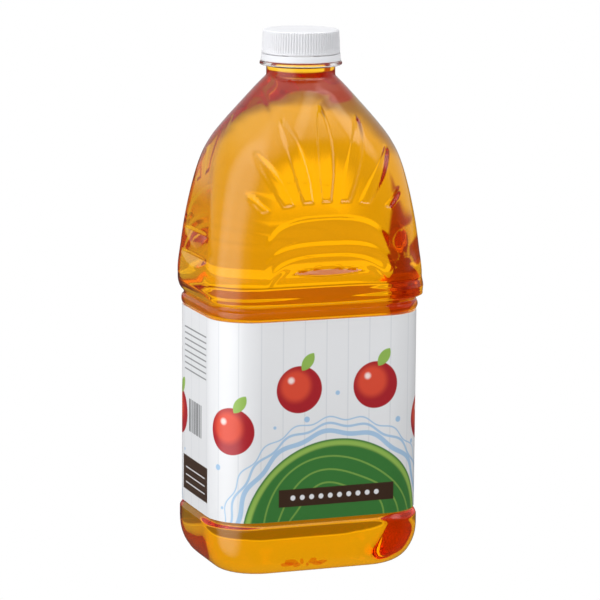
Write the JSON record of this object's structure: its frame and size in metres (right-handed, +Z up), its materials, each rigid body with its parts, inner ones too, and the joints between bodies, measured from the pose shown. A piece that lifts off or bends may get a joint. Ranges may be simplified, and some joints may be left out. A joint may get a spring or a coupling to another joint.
{
  "type": "juice bottle",
  "caption": "Shut clear plastic bottle of amber juice: oblong body, fan-pressed shoulder with a finger grip, wrap label, short neck and ribbed screw cap.",
  "frame": {"origin": "middle of the foot, on the surface that the bottle stands on", "axes": "+Z up along the bottle's axis to the cap, +X along the oblong body's long side, -Y out of the label's front panel"},
  "size_m": [0.1152, 0.086, 0.2724],
  "materials": {
    "clear_plastic": "clear, glossy PET",
    "juice": "clear amber drink",
    "label_film": "printed film with a soft sheen",
    "white_plastic": "satin moulded polypropylene"
  },
  "bodies": {
    "root": {"bottle": "clear_plastic", "juice": "juice", "label": "label_film", "cap": "white_plastic", "tamper_band": "white_plastic"}
  },
  "joints": []
}
